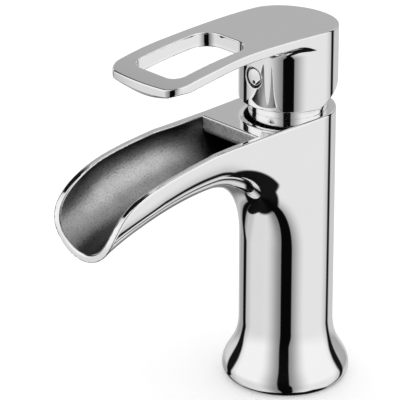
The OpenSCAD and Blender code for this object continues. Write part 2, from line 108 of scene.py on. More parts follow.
class TapLeverSizes(bpy.types.PropertyGroup):
    """Sizes of the lever."""

    top: length("Top", 180.4, "Height of the crest")
    skirt: length("Skirt radius", 23, "Radius of the skirt")
    skirt_low: length("Skirt level", 142.2, "Level of the skirt's lower edge")
    wall: length("Skirt wall", 2.5, "Wall of the skirt")
    thick: length("Plate", 4.5, "Thickness of the plate")
    reach: length("Reach", 95, "Reach of the plate")
    waist: length("Waist", 21.5, "Half width of the plate at its waist")
    tip: length("Tip", 22.4, "Half width of the plate near its tip")
    corner: length("Corner", 10.5, "Corner radius of the tip")
    loop_half: length("Loop", 14.7, "Half width of the finger loop")
    loop_rear: length("Loop rear", 38.1, "Rear edge of the finger loop")
    loop_front: length("Loop front", 85.2, "Front edge of the finger loop")
    loop_corner: length("Loop corner", 6, "Radius of the loop's front corners")
    loop_back: length("Loop back corner", 9.5, "Radius of the loop's rear corners")
    crown: length("Crown", 2.4, "Extra thickness of the plate inside its edges")
    belly: length("Belly", 5.2, "Extra depth under the middle of the front bar")
    front_cut: length("Front cut", 1.4, "How much thinner the plate is at its front edge")
    neck: length("Neck", 5, "Fillet between skirt and plate")
    screw: length("Screw level", 157, "Level of the screw hole")
    edge: length("Edge", 0.35, "Rounding of the edges")
    cell: length("Cell", 0.5, "Cell size of the lever's mesh")


class TapTrimSizes(bpy.types.PropertyGroup):
    """Sizes of the trim ring, and of the plug in the screw hole."""

    ring: length("Ring radius", 18.45, "Outer radius of the trim ring")
    ring_hole: length("Ring hole", 15.2, "Radius of the hole in the ring's top")
    ring_height: length("Ring height", 7.5, "Height of the trim ring")
    ring_wall: length("Ring wall", 1, "Wall of the trim ring")
    ring_edge: length("Ring edge", 0.6, "Rounding of the ring's upper edge")
    plug: length("Plug radius", 4, "Radius of the plug's head")
    plug_base: length("Plug base", 20.6, "Distance of the head's base from the column axis")
    plug_head: length("Plug head", 1.9, "Thickness of the plug's head")
    plug_crown: length("Plug crown", 0.35, "Doming of the head inside its thickness")
    stem: length("Stem radius", 3, "Radius of the plug's stem")
    stem_length: length("Stem length", 4, "Length of the plug's stem")
    mark: length("Mark radius", 0.9, "Radius of the hot and cold mark")
    mark_depth: length("Mark depth", 0.6, "Depth of the mark in the head")
    mark_drop: length("Mark drop", 2.3, "Distance of the mark below the plug's middle")


class TapColours(bpy.types.PropertyGroup):
    """Colours of the finishes, and of the painted light and shade in the trough, slot and lever
    hollow. Most drift a little to a darker shade.
    """

    chrome: tint("Chrome", grey(0.97), "Polished plating")
    casting: tint("Casting", grey(0.92), "Thin, rough plating of the trough in the light")
    shadow: tint("Shadow", grey(0.04), "Thin, rough plating of the trough in the dark")
    # Painted shade: the slot under the bridge and the walls beside the bridge take this dark colour in
    # place of their shade.
    slot: tint("Slot", grey(0.03), "Water slot under the bridge")
    # Unpolished casting, painted dark as painted shade in the hollow under the skirt and in the screw
    # hole.
    raw: tint("Raw casting", grey(0.08), "Unpolished hollow of the lever")
    mark: tint("Mark", grey(0.035), "Hot and cold mark")
    rubber: tint("Rubber", grey(0.03), "Seals")
    ceramic: tint("Ceramic", grey(0.82, 0.02), "Discs of the cartridge")
    steel: tint("Steel", grey(0.62), "Spindle, its pin and the grub screw")
    brass: tint("Brass", (0.72, 0.5, 0.2, 1), "Cartridge nut")
    cartridge: tint("Cartridge", grey(0.7, 0.01), "Cup and foot of the cartridge")
    guide: tint("Guide", grey(0.34), "Turning guide")
    carrier: tint("Carrier", grey(0.2), "Carrier of the moving disc")
    glide: tint("Glide ring", grey(0.66, 0.03), "Slip ring under the lip of the cup")
    limit: tint("Limit ring", (0.5, 0.05, 0.04, 1), "Stop ring that limits the turn")


def smooth(value, start, end):
    """0 before start, 1 after end, and an even ease between them."""
    t = np.clip((value - start) / (end - start), 0, 1)
    return t * t * (3 - 2 * t)


def cubic(ends, t):
    """A value of the cubic curve through four control values, and its slope."""
    a, b, c, d = ends
    u = 1 - t
    value = a * u**3 + 3 * b * t * u * u + 3 * c * t * t * u + d * t**3
    return value, 3 * ((b - a) * u * u + 2 * (c - b) * t * u + (d - c) * t * t)


def circle(radius, count, centre=(0.0, 0.0)):
    """The points of a full circle in plan."""
    return [
        (centre[0] + radius * math.sin(math.tau * i / count),
         centre[1] + radius * math.cos(math.tau * i / count))
        for i in range(count)]


def quarter(steps):
    """The angles of a quarter turn."""
    return [math.radians(90) * i / steps for i in range(steps + 1)]


class Skin:
    """Collects the grids of one turned piece and welds them into one mesh."""

    def __init__(self):
        self.bm = bmesh.new()

    def grid(self, rows, closed=False):
        """Quads between rows of points that have the same count."""
        made = [[self.bm.verts.new(p) for p in row] for row in rows]
        for low, high in zip(made, made[1:]):
            count = len(low)
            for i in range(count if closed else count - 1):
                k = (i + 1) % count
                self.face((low[i], low[k], high[k], high[i]))

    def face(self, verts):
        """One face, without its corners that share a place."""
        kept = []
        for v in verts:
            if not kept or (v.co - kept[-1].co).length > WELD:
                kept.append(v)
        while len(kept) > 1 and (kept[0].co - kept[-1].co).length <= WELD:
            kept.pop()
        if len(kept) > 2:
            self.bm.faces.new(kept).smooth = True

    def lathe(self, profile, count):
        """A profile of (radius, height) turned about the column axis."""
        self.grid([[(x, y, z) for x, y in circle(r, count)] for r, z in profile], closed=True)

    def finish(self, name, material):
        """Welds the grids and makes the object."""
        bmesh.ops.remove_doubles(self.bm, verts=self.bm.verts, dist=WELD)
        bmesh.ops.recalc_face_normals(self.bm, faces=self.bm.faces)
        mesh = bpy.data.meshes.new(name)
        self.bm.to_mesh(mesh)
        self.bm.free()
        mesh.materials.append(material)
        mesh.set_sharp_from_angle(angle=SHARP)
        obj = bpy.data.objects.new(name, mesh)
        bpy.context.scene.collection.objects.link(obj)
        even = obj.modifiers.new("Even normals", "WEIGHTED_NORMAL")
        even.keep_sharp = True
        return obj


def nets(field, low, high, cell):
    """The zero surface of a field as quads, one vertex in each cell that it crosses."""
    axes = [np.arange(a, b + cell, cell) for a, b in zip(low, high)]
    grid = np.meshgrid(*axes, indexing="ij", sparse=True)
    f = field(*grid)
    inside = f < 0
    shape = tuple(n - 1 for n in f.shape)
    total = np.zeros(shape + (3,))
    count = np.zeros(shape)
    for axis in range(3):
        a = tuple(slice(0, -1) if k == axis else slice(None) for k in range(3))
        b = tuple(slice(1, None) if k == axis else slice(None) for k in range(3))
        crossed = inside[a] != inside[b]
        with np.errstate(divide="ignore", invalid="ignore"):
            share = np.where(crossed, f[a] / (f[a] - f[b]), 0)
        others = [k for k in range(3) if k != axis]
        for i in (0, 1):
            for j in (0, 1):
                pick = [slice(None)] * 3
                pick[others[0]] = slice(i, i + shape[others[0]])
                pick[others[1]] = slice(j, j + shape[others[1]])
                hit = crossed[tuple(pick)]
                count += hit
                total[..., axis] += np.where(hit, share[tuple(pick)], 0)
                total[..., others[0]] += hit * i
                total[..., others[1]] += hit * j
    live = count > 0
    number = np.full(shape, -1)
    number[live] = np.arange(live.sum())
    where = np.argwhere(live)
    points = (where + total[live] / count[live][:, None]) * cell + np.array(low)
    faces = []
    for axis in range(3):
        a = tuple(slice(0, -1) if k == axis else slice(1, -1) for k in range(3))
        b = tuple(slice(1, None) if k == axis else slice(1, -1) for k in range(3))
        first, second = inside[a], inside[b]
        spots = np.argwhere(first != second)
        u, v = [k for k in range(3) if k != axis]
        corners = []
        for du, dv in ((0, 0), (1, 0), (1, 1), (0, 1)):
            at = spots.copy()
            at[:, u] += du
            at[:, v] += dv
            corners.append(number[at[:, 0], at[:, 1], at[:, 2]])
        quad = np.stack(corners, 1)
        turn = first[tuple(spots.T)] != (axis == 1)
        quad[~turn] = quad[~turn][:, ::-1]
        faces.append(quad)
    return points, np.concatenate(faces)


def slope(field, p, h=1e-6):
    """The gradient of a field at each point."""
    parts = []
    for axis in range(3):
        step = np.zeros(3)
        step[axis] = h
        parts.append(field(*(p + step).T) - field(*(p - step).T))
    return np.stack(parts, 1) / (2 * h)


def skin_of(name, field, low, high, cell, material, marks):
    """A smooth piece whose points, normals and marks of finish are taken from fields."""
    rounds, longest, flattest, normal_reach = 3, cell * 0.4, 0.2, 2e-5
    points, faces = nets(field, low, high, cell)
    for _ in range(rounds):
        g = slope(field, points)
        step = (field(*points.T) / np.maximum((g * g).sum(1), flattest))[:, None] * g
        points -= np.clip(step, -longest, longest)
    g = slope(field, points, normal_reach)
    normals = g / np.maximum(np.linalg.norm(g, axis=1), 1e-9)[:, None]
    mesh = bpy.data.meshes.new(name)
    mesh.from_pydata(points.tolist(), [], faces.tolist())
    mesh.materials.append(material)
    mesh.polygons.foreach_set("use_smooth", [True] * len(mesh.polygons))
    for mark, values in marks(*points.T).items():
        made = mesh.attributes.new(mark, "FLOAT", "POINT")
        made.data.foreach_set("value", (values / MM).astype(np.float32))
    mesh.update()
    mesh.normals_split_custom_set_from_vertices(normals.tolist())
    obj = bpy.data.objects.new(name, mesh)
    bpy.context.scene.collection.objects.link(obj)
    return obj


def ease_max(a, b, k):
    """The larger of two fields, with the corner between them rounded over k."""
    h = np.maximum(k - np.abs(a - b), 0) / k
    return np.maximum(a, b) + h * h * k * 0.25


def rounded_box(x, y, half_x, low_y, high_y, r):
    """Distance in plan from a rectangle with rounded corners."""
    qx = np.abs(x) - half_x + r
    qy = np.abs(y - (low_y + high_y) / 2) - (high_y - low_y) / 2 + r
    return np.minimum(np.maximum(qx, qy), 0) + np.hypot(np.maximum(qx, 0), np.maximum(qy, 0)) - r


class BodyShape:
    """The casting as fields: each is negative inside what it describes."""

    def __init__(self, s):
        self.s = s
        self.root = s.height - s.depth
        self.crest = -s.radius - s.bend
        self.axis = self.root - s.arc
        self.bend_low = self.root - s.bend
        self.slot_top = s.height - s.bridge
        tip = math.asin((s.reach + self.crest) / s.arc)
        lip = self.axis + s.arc * math.cos(tip)
        rim_pull, rim_drop, nose_drop = 29 * MM, 3 * MM, 6.5 * MM
        self.rim_y = (-s.fall_start, -s.reach + rim_pull, -s.reach, -s.reach)
        self.rim_z = (s.height, s.height - rim_drop, s.height - nose_drop, lip + s.lip_edge)

    def half_width(self, d):
        """Outer half width at a distance along the spout: it narrows, swells and closes in."""
        narrowing, swell = 0.8 * MM, 0.9 * MM
        w = self.s.radius - narrowing * smooth(d, 0, 35 * MM)
        return w + swell * (smooth(d, 52 * MM, 94 * MM) - smooth(d, 98 * MM, 124 * MM))

    def inner_width(self, d):
        """Inner half width of the trough: its walls thin out and thicken again at the lip."""
        thick, change = 3.8 * MM, 0.6 * MM
        thinner = smooth(d, 50 * MM, 75 * MM) - smooth(d, 100 * MM, 115 * MM)
        return self.half_width(d) - thick + change * thinner

    def column(self, r, z):
        """The column with its flared and rolled foot."""
        s = self.s
        low_pull, high_pull, rounds = 0.42, 0.48, 8
        ends = (s.belly_height, s.foot_height * low_pull, s.foot_height * high_pull, s.foot_height)
        t = np.clip((z - ends[0]) / (ends[3] - ends[0]), 0, 1)
        for _ in range(rounds):
            level, rate = cubic(ends, t)
            t = np.clip(t - (level - z) / rate, 0, 1)
        radius, _ = cubic((s.foot_radius, s.foot_radius, s.radius, s.radius), t)
        flat = s.foot_radius - s.foot_roll
        rolled = np.hypot((r - flat) / s.foot_roll, (s.belly_height - z) / s.belly_height) - 1
        roll = np.where(r > flat, rolled * s.belly_height, -z)
        return np.where(z < s.belly_height, roll, r - radius)

    def rim(self, y, z):
        """Height above the rim line: the flat top, the falling curve and the upright lip."""
        guesses, rounds = 9, 6
        t = np.zeros(np.broadcast(y, z).shape)
        best = np.full(t.shape, np.inf)
        for guess in np.linspace(0, 1, guesses):
            gap = (cubic(self.rim_y, guess)[0] - y) ** 2 + (cubic(self.rim_z, guess)[0] - z) ** 2
            t = np.where(gap < best, guess, t)
            best = np.minimum(gap, best)
        for _ in range(rounds):
            (py, ty), (pz, tz) = cubic(self.rim_y, t), cubic(self.rim_z, t)
            along = (y - py) * ty + (z - pz) * tz
            t = np.clip(t + along / (ty * ty + tz * tz), 0, 1)
        (py, ty), (pz, tz) = cubic(self.rim_y, t), cubic(self.rim_z, t)
        curve = ((y - py) * tz - (z - pz) * ty) / np.hypot(ty, tz)
        return np.maximum(curve, z - self.s.height)

    def outside(self, x, y, z):
        """Column, bend and spout, still without the trough and the top."""
        s = self.s
        merge_run = 30 * MM
        round_column = self.column(np.hypot(x, y), z)
        in_bend = y > self.crest
        turned = np.arctan2(z - self.bend_low, y - self.crest)
        turned = np.clip(turned, 0, math.pi / 2) * 2 / math.pi
        depth = np.where(
            in_bend, np.hypot(y - self.crest, z - self.bend_low) - s.bend,
            np.hypot(y - self.crest, z - self.axis) - s.arc)
        section = np.where(in_bend, s.radius + (s.section - s.radius) * turned, s.section)
        merge = smooth(z, self.bend_low, self.bend_low + merge_run)
        half = s.radius + (self.half_width(np.maximum(-y, 0)) - s.radius) * merge
        under = (np.hypot(x / half, (section - depth) / section) - 1) * section
        spout = np.where(depth < section, under, np.abs(x) - half)
        return np.where((y < 0) & (z > self.bend_low), spout, round_column)

    def trough(self, x, y, z):
        """The open channel and the slot under the bridge that feeds it."""
        s = self.s
        chamfer, chamfer_rise, slot_rear = 1.4 * MM, 1.7, 24.7 * MM
        inner = s.section - s.wall
        away = np.maximum(-y, s.bridge_front)
        depth = np.where(
            y > self.crest, z - self.root, np.hypot(y - self.crest, z - self.axis) - s.arc)
        half = self.inner_width(away)
        low = (np.hypot(x / half, (s.section - depth) / inner) - 1) * inner
        channel = np.where(depth < s.section, low, np.abs(x) - half)
        cut = np.maximum(-y - s.bridge_front + chamfer, 0) * chamfer_rise
        slot = np.maximum(z - self.slot_top - cut, y + slot_rear)
        return np.maximum(channel, np.minimum(y + s.bridge_front, slot))

    def inside(self, x, y, z):
        """The cartridge bore, and the hollow of the foot with its pillar, seal groove and inlets."""
        top, r = self.s.height, np.hypot(x, y)
        nut_r, nut_depth, bore_r, bore_depth = 18.22 * MM, 6.9 * MM, 17.7 * MM, 22 * MM
        recess_r, recess_top, pillar_r, web = 18.5 * MM, 88 * MM, 5.5 * MM, 2.1 * MM
        groove_r, groove_half, groove_top = 22.3 * MM, 2 * MM, 1.6 * MM
        stud_r, stud_top = 3.4 * MM, 26 * MM
        port_x, port_y, hose_r, feed_r = 8.5 * MM, -7 * MM, 4.6 * MM, 3.2 * MM
        port_low, hose_top, feed_depth = 80 * MM, 100 * MM, 20 * MM
        bore = np.minimum(
            np.maximum(r - nut_r, top - nut_depth - z), np.maximum(r - bore_r, top - bore_depth - z))
        pillar = np.minimum(r - pillar_r, np.maximum(np.abs(x) - web, -y))
        recess = np.maximum(np.maximum(r - recess_r, z - recess_top), -pillar)
        groove = np.maximum(np.abs(r - groove_r) - groove_half, z - groove_top)
        stud = np.maximum(r - stud_r, z - stud_top)
        port = np.hypot(np.abs(x) - port_x, y - port_y)
        hose = np.maximum(port - hose_r, z - hose_top)
        feed = np.maximum(port - feed_r, z - top + feed_depth)
        hollow = np.minimum(np.minimum(bore, recess), np.minimum(groove, stud))
        return np.minimum(hollow, np.maximum(np.minimum(hose, feed), port_low - z))

    def __call__(self, x, y, z):
        k, inner_blend = self.s.edge * EDGE_BLEND, 0.3 * MM
        solid = ease_max(self.outside(x, y, z), self.rim(y, z), k)
        solid = ease_max(solid, -self.trough(x, y, z), k)
        return np.maximum(ease_max(solid, -self.inside(x, y, z), inner_blend), -z)


def build_body(context):
    """The whole casting as one piece with its finishes."""
    s = context.scene.tap_body
    shape, room = BodyShape(s), 1.5 * MM
    side = s.foot_radius + room
    low, high = (-side, -s.reach - room, -room), (side, side, s.height + room)

    def marks(x, y, z):
        """How far a point lies inside the rough trough and the slot, and under the rim; the slot and
        the nearness to the rim place painted shade.
        """
        steep, step, cap, deepest = 10, 2 * MM, 4 * MM, 12 * MM
        skin, slot_start, bore_depth = 0.3 * MM, 0.4 * MM, 23 * MM
        under_rim = -shape.rim(y, z)
        off_trough = np.clip((np.abs(shape.trough(x, y, z)) - skin) * steep, 0, cap)
        off_hollow = np.minimum(np.abs(shape.inside(x, y, z)) * steep, cap)
        trough = np.clip(under_rim, 0, step) - off_trough
        hollow = np.clip(s.height - bore_depth - z, 0, step) - off_hollow
        slot = np.clip(y + s.bridge_front - slot_start, -step, step) - off_trough
        depth = np.clip(under_rim, 0, deepest)
        return {"cast": np.maximum(trough, hollow), "slot": slot, "depth": depth}

    finish = body_finish(context.scene.tap_colours)
    body = skin_of("tap_body", shape, low, high, s.cell, finish, marks)
    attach(body, "root")
    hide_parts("body")


def lever_field(s):
    """The lever as a field that is negative inside the casting."""
    crest, front_r, rear_r, bow_r = 38 * MM, 290 * MM, 600 * MM, 130 * MM
    waist_at, tip_at = 50 * MM, 73 * MM
    front_start, front_full = s.reach - 14 * MM, s.reach - 5 * MM
    crown_run, middle = 7 * MM, 12 * MM
    belly_half, belly_start, belly_full = 24 * MM, -2.5 * MM, 5 * MM
    relief, relief_start, slant = math.tan(math.radians(24.5)), 2 * MM, 0.91
    sharp_end, round_start = 4 * MM, 12 * MM
    back_end, front_from, draft, draft_start = 50 * MM, 70 * MM, 0.09, 5.2 * MM
    hub_r, hub_low, roof = 9 * MM, 153.4 * MM, 169.9 * MM
    boss_half, boss_rise = 6.5 * MM, 4.8 * MM
    socket, socket_top = 3.55 * MM, 166.9 * MM
    sink_r, sink_floor = 5 * MM, s.skirt - 2.4 * MM
    stem_r, stem_floor, thread_r = 3.02 * MM, sink_floor - 5 * MM, 2.52 * MM
    k = s.edge * EDGE_BLEND

    def top_z(y):
        """Height of the plate's curved top."""
        d = -y - crest
        return s.top - d * d / 2 / np.where(d > 0, front_r, rear_r)

    def outline(x, y, r):
        """The plate in plan: a round rear, waisted flanks, and a bowed front with round corners."""
        half = s.skirt + (s.waist - s.skirt) * smooth(-y, 0, waist_at)
        half = half + (s.tip - s.waist) * smooth(-y, waist_at, tip_at)
        in_corner = (-y > s.reach - s.corner) & (np.abs(x) > s.tip - s.corner)
        corner = np.hypot(np.abs(x) - s.tip + s.corner, -y - s.reach + s.corner) - s.corner
        front = np.hypot(x, y + s.reach - bow_r) - bow_r
        ahead = np.maximum(np.where(in_corner, corner, np.abs(x) - half), front)
        return np.where(y > 0, r - s.skirt, ahead)

    def underside(x, y, z, r, plan, above):
        """The plate's underside with its crown and belly, and the fillet to the skirt."""
        inward = -np.maximum(plan, -middle)
        at_front = smooth(-y, front_start, front_full)
        thick = s.thick - s.front_cut * at_front
        thick = thick + s.crown * smooth(inward, 0, crown_run) * (1 - at_front)
        arch = np.maximum(1 - (x / belly_half) ** 2, 0)
        thick = thick + s.belly * at_front * arch * smooth(inward, belly_start, belly_full)
        drop = above + thick
        low = np.where(
            (r < s.skirt + s.neck) & (drop > -s.neck),
            s.neck - np.hypot(r - s.skirt - s.neck, drop + s.neck),
            np.minimum(r - s.skirt, -drop))
        raised = s.skirt_low + (y + relief_start) * relief
        skirt_edge = np.maximum(s.skirt_low - z, (raised - z) * slant)
        return ease_max(low, skirt_edge, k)

    def loop(x, y, above):
        """The finger loop, whose walls lean inward below the first few millimetres."""
        corner = s.loop_back + (s.loop_corner - s.loop_back) * smooth(-y, back_end, front_from)
        opening = rounded_box(x, y, s.loop_half, -s.loop_front, -s.loop_rear, corner)
        return opening + np.maximum(-above - draft_start, 0) * draft

    def hollow(x, y, z, r):
        """The hollow of the skirt round the hub, the screw's boss and the socket of the spindle."""
        hub = np.maximum(r - hub_r, hub_low - z)
        boss = np.maximum(np.maximum(np.abs(x) - boss_half, y), np.abs(z - s.screw) - boss_rise)
        cup = np.maximum(np.maximum(r - s.skirt + s.wall, z - roof), -np.minimum(hub, boss))
        return np.minimum(cup, np.maximum(np.maximum(np.abs(x), np.abs(y)) - socket, z - socket_top))

    def hole(x, y, z):
        """The stepped hole of the grub screw and its plug."""
        drill = np.hypot(x, z - s.screw)
        sink = np.maximum(drill - sink_r, y + sink_floor)
        stem = np.maximum(drill - stem_r, y + stem_floor)
        return np.minimum(np.minimum(sink, stem), np.maximum(drill - thread_r, y))

    def field(x, y, z):
        r = np.hypot(x, y)
        plan, above = outline(x, y, r), z - top_z(y)
        apart = k * smooth(-y, sharp_end, round_start) + 1e-9
        solid = ease_max(ease_max(plan, above, k), underside(x, y, z, r, plan, above), apart)
        solid = ease_max(solid, -loop(x, y, above), k)
        solid = ease_max(solid, -hollow(x, y, z, r), k / 2)
        return ease_max(solid, -hole(x, y, z), k / 2)

    return field


def build_lever(context):
    """The lever, one polished casting that is hollow under its skirt."""
    s, room = context.scene.tap_lever, 1.3 * MM
    low = (-s.skirt - room, -s.reach - room, s.skirt_low - room)
    high = (s.skirt + room, s.skirt + room, s.top + room)

    def marks(x, y, z):
        """How far a point lies inside the unpolished hollow under the skirt and the screw hole, which
        are painted dark as painted shade.
        """
        spare, roof_spare, drill_r, rim_spare = 0.4 * MM, 2 * MM, 4.9 * MM, 0.3 * MM
        inner = s.skirt - s.wall + spare - np.hypot(x, y)
        roof = s.top - s.thick - roof_spare - z
        drilled = np.minimum(drill_r - np.hypot(x, z - s.screw), y + s.skirt - rim_spare)
        return {"hollow": np.minimum(np.maximum(inner, np.where(y < 0, drilled, inner)), roof)}

    finish = lever_finish(context.scene.tap_colours)
    lever = skin_of("tap_lever", lever_field(s), low, high, s.cell, finish, marks)
    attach(lever, "handle")
    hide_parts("lever")


def build_ring(context):
    """The trim ring, turned, with a rounded upper edge."""
    s, low = context.scene.tap_trim, context.scene.tap_body.height
    skin, top, small = Skin(), low + s.ring_height, s.ring_edge / 2
    arc = quarter(ARC_STEPS)
    outer = [
        (s.ring - s.ring_edge * (1 - math.cos(a)), top - s.ring_edge * (1 - math.sin(a)))
        for a in arc]
    inner = [
        (s.ring_hole + small * (1 - math.sin(a)), top - small * (1 - math.cos(a))) for a in arc]
    under, in_r = top - s.ring_wall, s.ring - s.ring_wall
    start, end = [(in_r, low), (s.ring, low)], [(s.ring_hole, under), (in_r, under), (in_r, low)]
    skin.lathe(start + outer + inner + end, RING_POINTS)
    ring = skin.finish("tap_trim_ring", chrome_finish(context.scene.tap_colours))
    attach(ring, "root")
    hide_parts("trim_ring")


class PlugPlace:
    """Places points on the plug, which looks along -Y out of the screw hole."""

    def __init__(self, s, level):
        self.s, self.level = s, level
        self.pit_floor = self.crown(s.mark_drop) - s.mark_depth

    def crown(self, r):
        """Distance of the domed head from the column axis."""
        return self.s.plug_base + self.s.plug_head - self.s.plug_crown * (r / self.s.plug) ** 2

    def at(self, x, z, out):
        """A point beside and above the plug's middle, at a distance from the column axis."""
        return (x, -out, self.level + z)

    def flat(self, points, out):
        """Points at one distance from the column axis."""
        return [self.at(x, z, out) for x, z in points]

    def domed(self, points, sink=0.0):
        """Points on the domed head, or a little under it."""
        return [self.at(x, z, self.crown(math.hypot(x, z)) - sink) for x, z in points]

    def middle(self, z, out):
        """One point as a closed row, where a cap ends."""
        return [self.at(0, z, out)] * PLUG_POINTS


def build_plug(context):
    """The plug: a domed and rounded head with a pit for the mark, and a stem."""
    s = context.scene.tap_trim
    place, skin = PlugPlace(s, context.scene.tap_lever.screw), Skin()
    play, edge, spread = 0.02 * MM, 0.3 * MM, 10
    pit = circle(s.mark + play, PLUG_POINTS, (0, -s.mark_drop))
    rim = circle(s.plug - edge, PLUG_POINTS)
    rings = []
    for i in range(spread + 1):
        share = i / spread
        rings.append(place.domed([
            (px + (ex - px) * share, pz + (ez - pz) * share) for (px, pz), (ex, ez) in zip(pit, rim)]))
    for a in quarter(ARC_STEPS)[1:]:
        out = place.crown(s.plug - edge) - edge * (1 - math.cos(a))
        rings.append(place.flat(circle(s.plug - edge * (1 - math.sin(a)), PLUG_POINTS), out))
    stem_end = s.plug_base - s.stem_length
    for r, out in ((s.plug, s.plug_base), (s.stem, s.plug_base), (s.stem, stem_end)):
        rings.append(place.flat(circle(r, PLUG_POINTS), out))
    skin.grid(rings, closed=True)
    skin.grid([place.middle(0, stem_end), rings[-1]], closed=True)
    floor = place.flat(pit, place.pit_floor)
    skin.grid([floor, rings[0]], closed=True)
    skin.grid([place.middle(-s.mark_drop, place.pit_floor), floor], closed=True)
    plug = skin.finish("tap_plug", chrome_finish(context.scene.tap_colours))
    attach(plug, "handle")
    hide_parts("indicator_plug")


def build_mark(context):
    """The hot and cold mark: a small pin with a rounded top in the pit of the plug."""
    s = context.scene.tap_trim
    place, skin = PlugPlace(s, context.scene.tap_lever.screw), Skin()
    rounding = ((0, 0), (0.6, 0.02 * MM), (0.9, 0.08 * MM), (1, 0.2 * MM))
    rows = [
        place.domed(circle(s.mark * share, PLUG_POINTS, (0, -s.mark_drop)), sink)
        for share, sink in rounding]
    rows.append(place.flat(circle(s.mark, PLUG_POINTS, (0, -s.mark_drop)), place.pit_floor))
    rows.append(place.middle(-s.mark_drop, place.pit_floor))
    skin.grid(rows, closed=True)
    finish = moulded_finish("Mark plastic", context.scene.tap_colours.mark, 0.5714, 0.25)
    mark = skin.finish("tap_mark", finish)
    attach(mark, "handle")
    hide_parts("hot_cold_mark")


class Socket:
    """A value in a node tree; arithmetic on it adds Math nodes."""

    def __init__(self, nodes, socket):
        self.nodes, self.socket = nodes, socket

    def math(self, operation, *values):
        """The result of one Math node."""
        made = self.nodes.add("ShaderNodeMath", {"operation": operation}, dict(enumerate(values)))
        return Socket(self.nodes, made.outputs[0])

    def __add__(self, other):
        return self.math("ADD", self, other)

    def __sub__(self, other):
        return self.math("SUBTRACT", self, other)

    def __rsub__(self, other):
        return self.math("SUBTRACT", other, self)

    def __mul__(self, other):
        return self.math("MULTIPLY", self, other)

    def __abs__(self):
        return self.math("ABSOLUTE", self)

    __radd__, __rmul__ = __add__, __mul__

    def larger(self, other):
        """The larger of two values."""
        return self.math("MAXIMUM", self, other)


class Nodes:
    """Adds nodes to one material or world."""

    def __init__(self, tree):
        self.tree = tree
        tree.nodes.clear()

    def add(self, kind, settings=None, values=None):
        """One node: its settings are set first, then its sockets are given values or links."""
        node = self.tree.nodes.new(kind)
        for key, value in (settings or {}).items():
            setattr(node, key, value)
        for key, value in (values or {}).items():
            target = node.inputs[key]
            if isinstance(value, Socket):
                self.tree.links.new(value.socket, target)
            else:
                target.default_value = value
        return node

    def out(self, node, name=0):
        """One output of a node."""
        return Socket(self, node.outputs[name])

    def place(self):
        """The place on the object, in metres."""
        return self.out(self.add("ShaderNodeTexCoord"), "Object")

    def together(self, x, y, z):
        """A vector of three numbers."""
        return self.out(self.add("ShaderNodeCombineXYZ", {}, {"X": x, "Y": y, "Z": z}))

    def parts(self, vector):
        """The three numbers of a vector."""
        split = self.add("ShaderNodeSeparateXYZ", {}, {"Vector": vector})
        return [self.out(split, k) for k in range(3)]

    def noise(self, place, scale, detail=3.0):
        """Noise from 0 to 1."""
        values = {"Vector": place, "Scale": scale, "Detail": detail}
        return self.out(self.add("ShaderNodeTexNoise", {}, values), "Fac")

    def ease(self, value, start, end, low=0.0, high=1.0):
        """Goes smoothly from low to high while the value goes from start to end."""
        values = {"Value": value, "From Min": start, "From Max": end, "To Min": low, "To Max": high}
        return self.out(self.add("ShaderNodeMapRange", {"interpolation_type": "SMOOTHSTEP"}, values))

    def band(self, value, centre, half, soft):
        """1 in a band round the centre, with soft edges."""
        return self.ease(abs(value - centre), half - soft, half + soft, 1.0, 0.0)

    def mark(self, name, start, end):
        """Goes from 0 to 1 while a mark stored in the mesh goes from start to end millimetres."""
        stored = self.out(self.add("ShaderNodeAttribute", {"attribute_name": name}), "Fac")
        return self.ease(stored, start, end)

    def between(self, factor, a, b):
        """A colour between two, by a factor."""
        values = {"Factor": factor, "A": a, "B": b}
        return self.out(self.add("ShaderNodeMix", {"data_type": "RGBA"}, values), 2)

    def bump(self, height, strength, depth):
        """A normal from a height."""
        values = {"Strength": strength, "Distance": depth, "Height": height}
        return self.out(self.add("ShaderNodeBump", {}, values))


def principled(name):
    """A new material with a Principled shader, or the one made before."""
    old = bpy.data.materials.get(name)
    if old:
        return old, None, None
    material = bpy.data.materials.new(name)
    material.use_nodes = True
    nodes = Nodes(material.node_tree)
    shader = nodes.add("ShaderNodeBsdfPrincipled")
    output = nodes.add("ShaderNodeOutputMaterial")
    material.node_tree.links.new(shader.outputs[0], output.inputs["Surface"])
    return material, nodes, shader


def feed(nodes, shader, **values):
    """Sets or links the shader's sockets by name."""
    for key, value in values.items():
        target = shader.inputs[key.replace("_", " ")]
        if isinstance(value, Socket):
            nodes.tree.links.new(value.socket, target)
        else:
            target.default_value = value


def drifting(nodes, factor, tone, share):
    """A colour that drifts by a factor to a darker shade, which keeps a share of its light."""
    return nodes.between(factor, tuple(tone), tuple(part * share for part in tone[:3]) + (1,))


def plating(nodes, place, colours):
    """Colour and roughness of polished chrome, which drift a little over the surface."""
    drift = nodes.noise(place, 60)
    return drifting(nodes, drift, colours.chrome, 0.9794), drift * 0.03 + 0.03


def chrome_finish(colours):
    """Polished chrome all over."""
    material, nodes, shader = principled("Polished chrome")
    if nodes:
        tone, rough = plating(nodes, nodes.place(), colours)
        feed(nodes, shader, Metallic=1.0, Base_Color=tone, Roughness=rough)
    return material


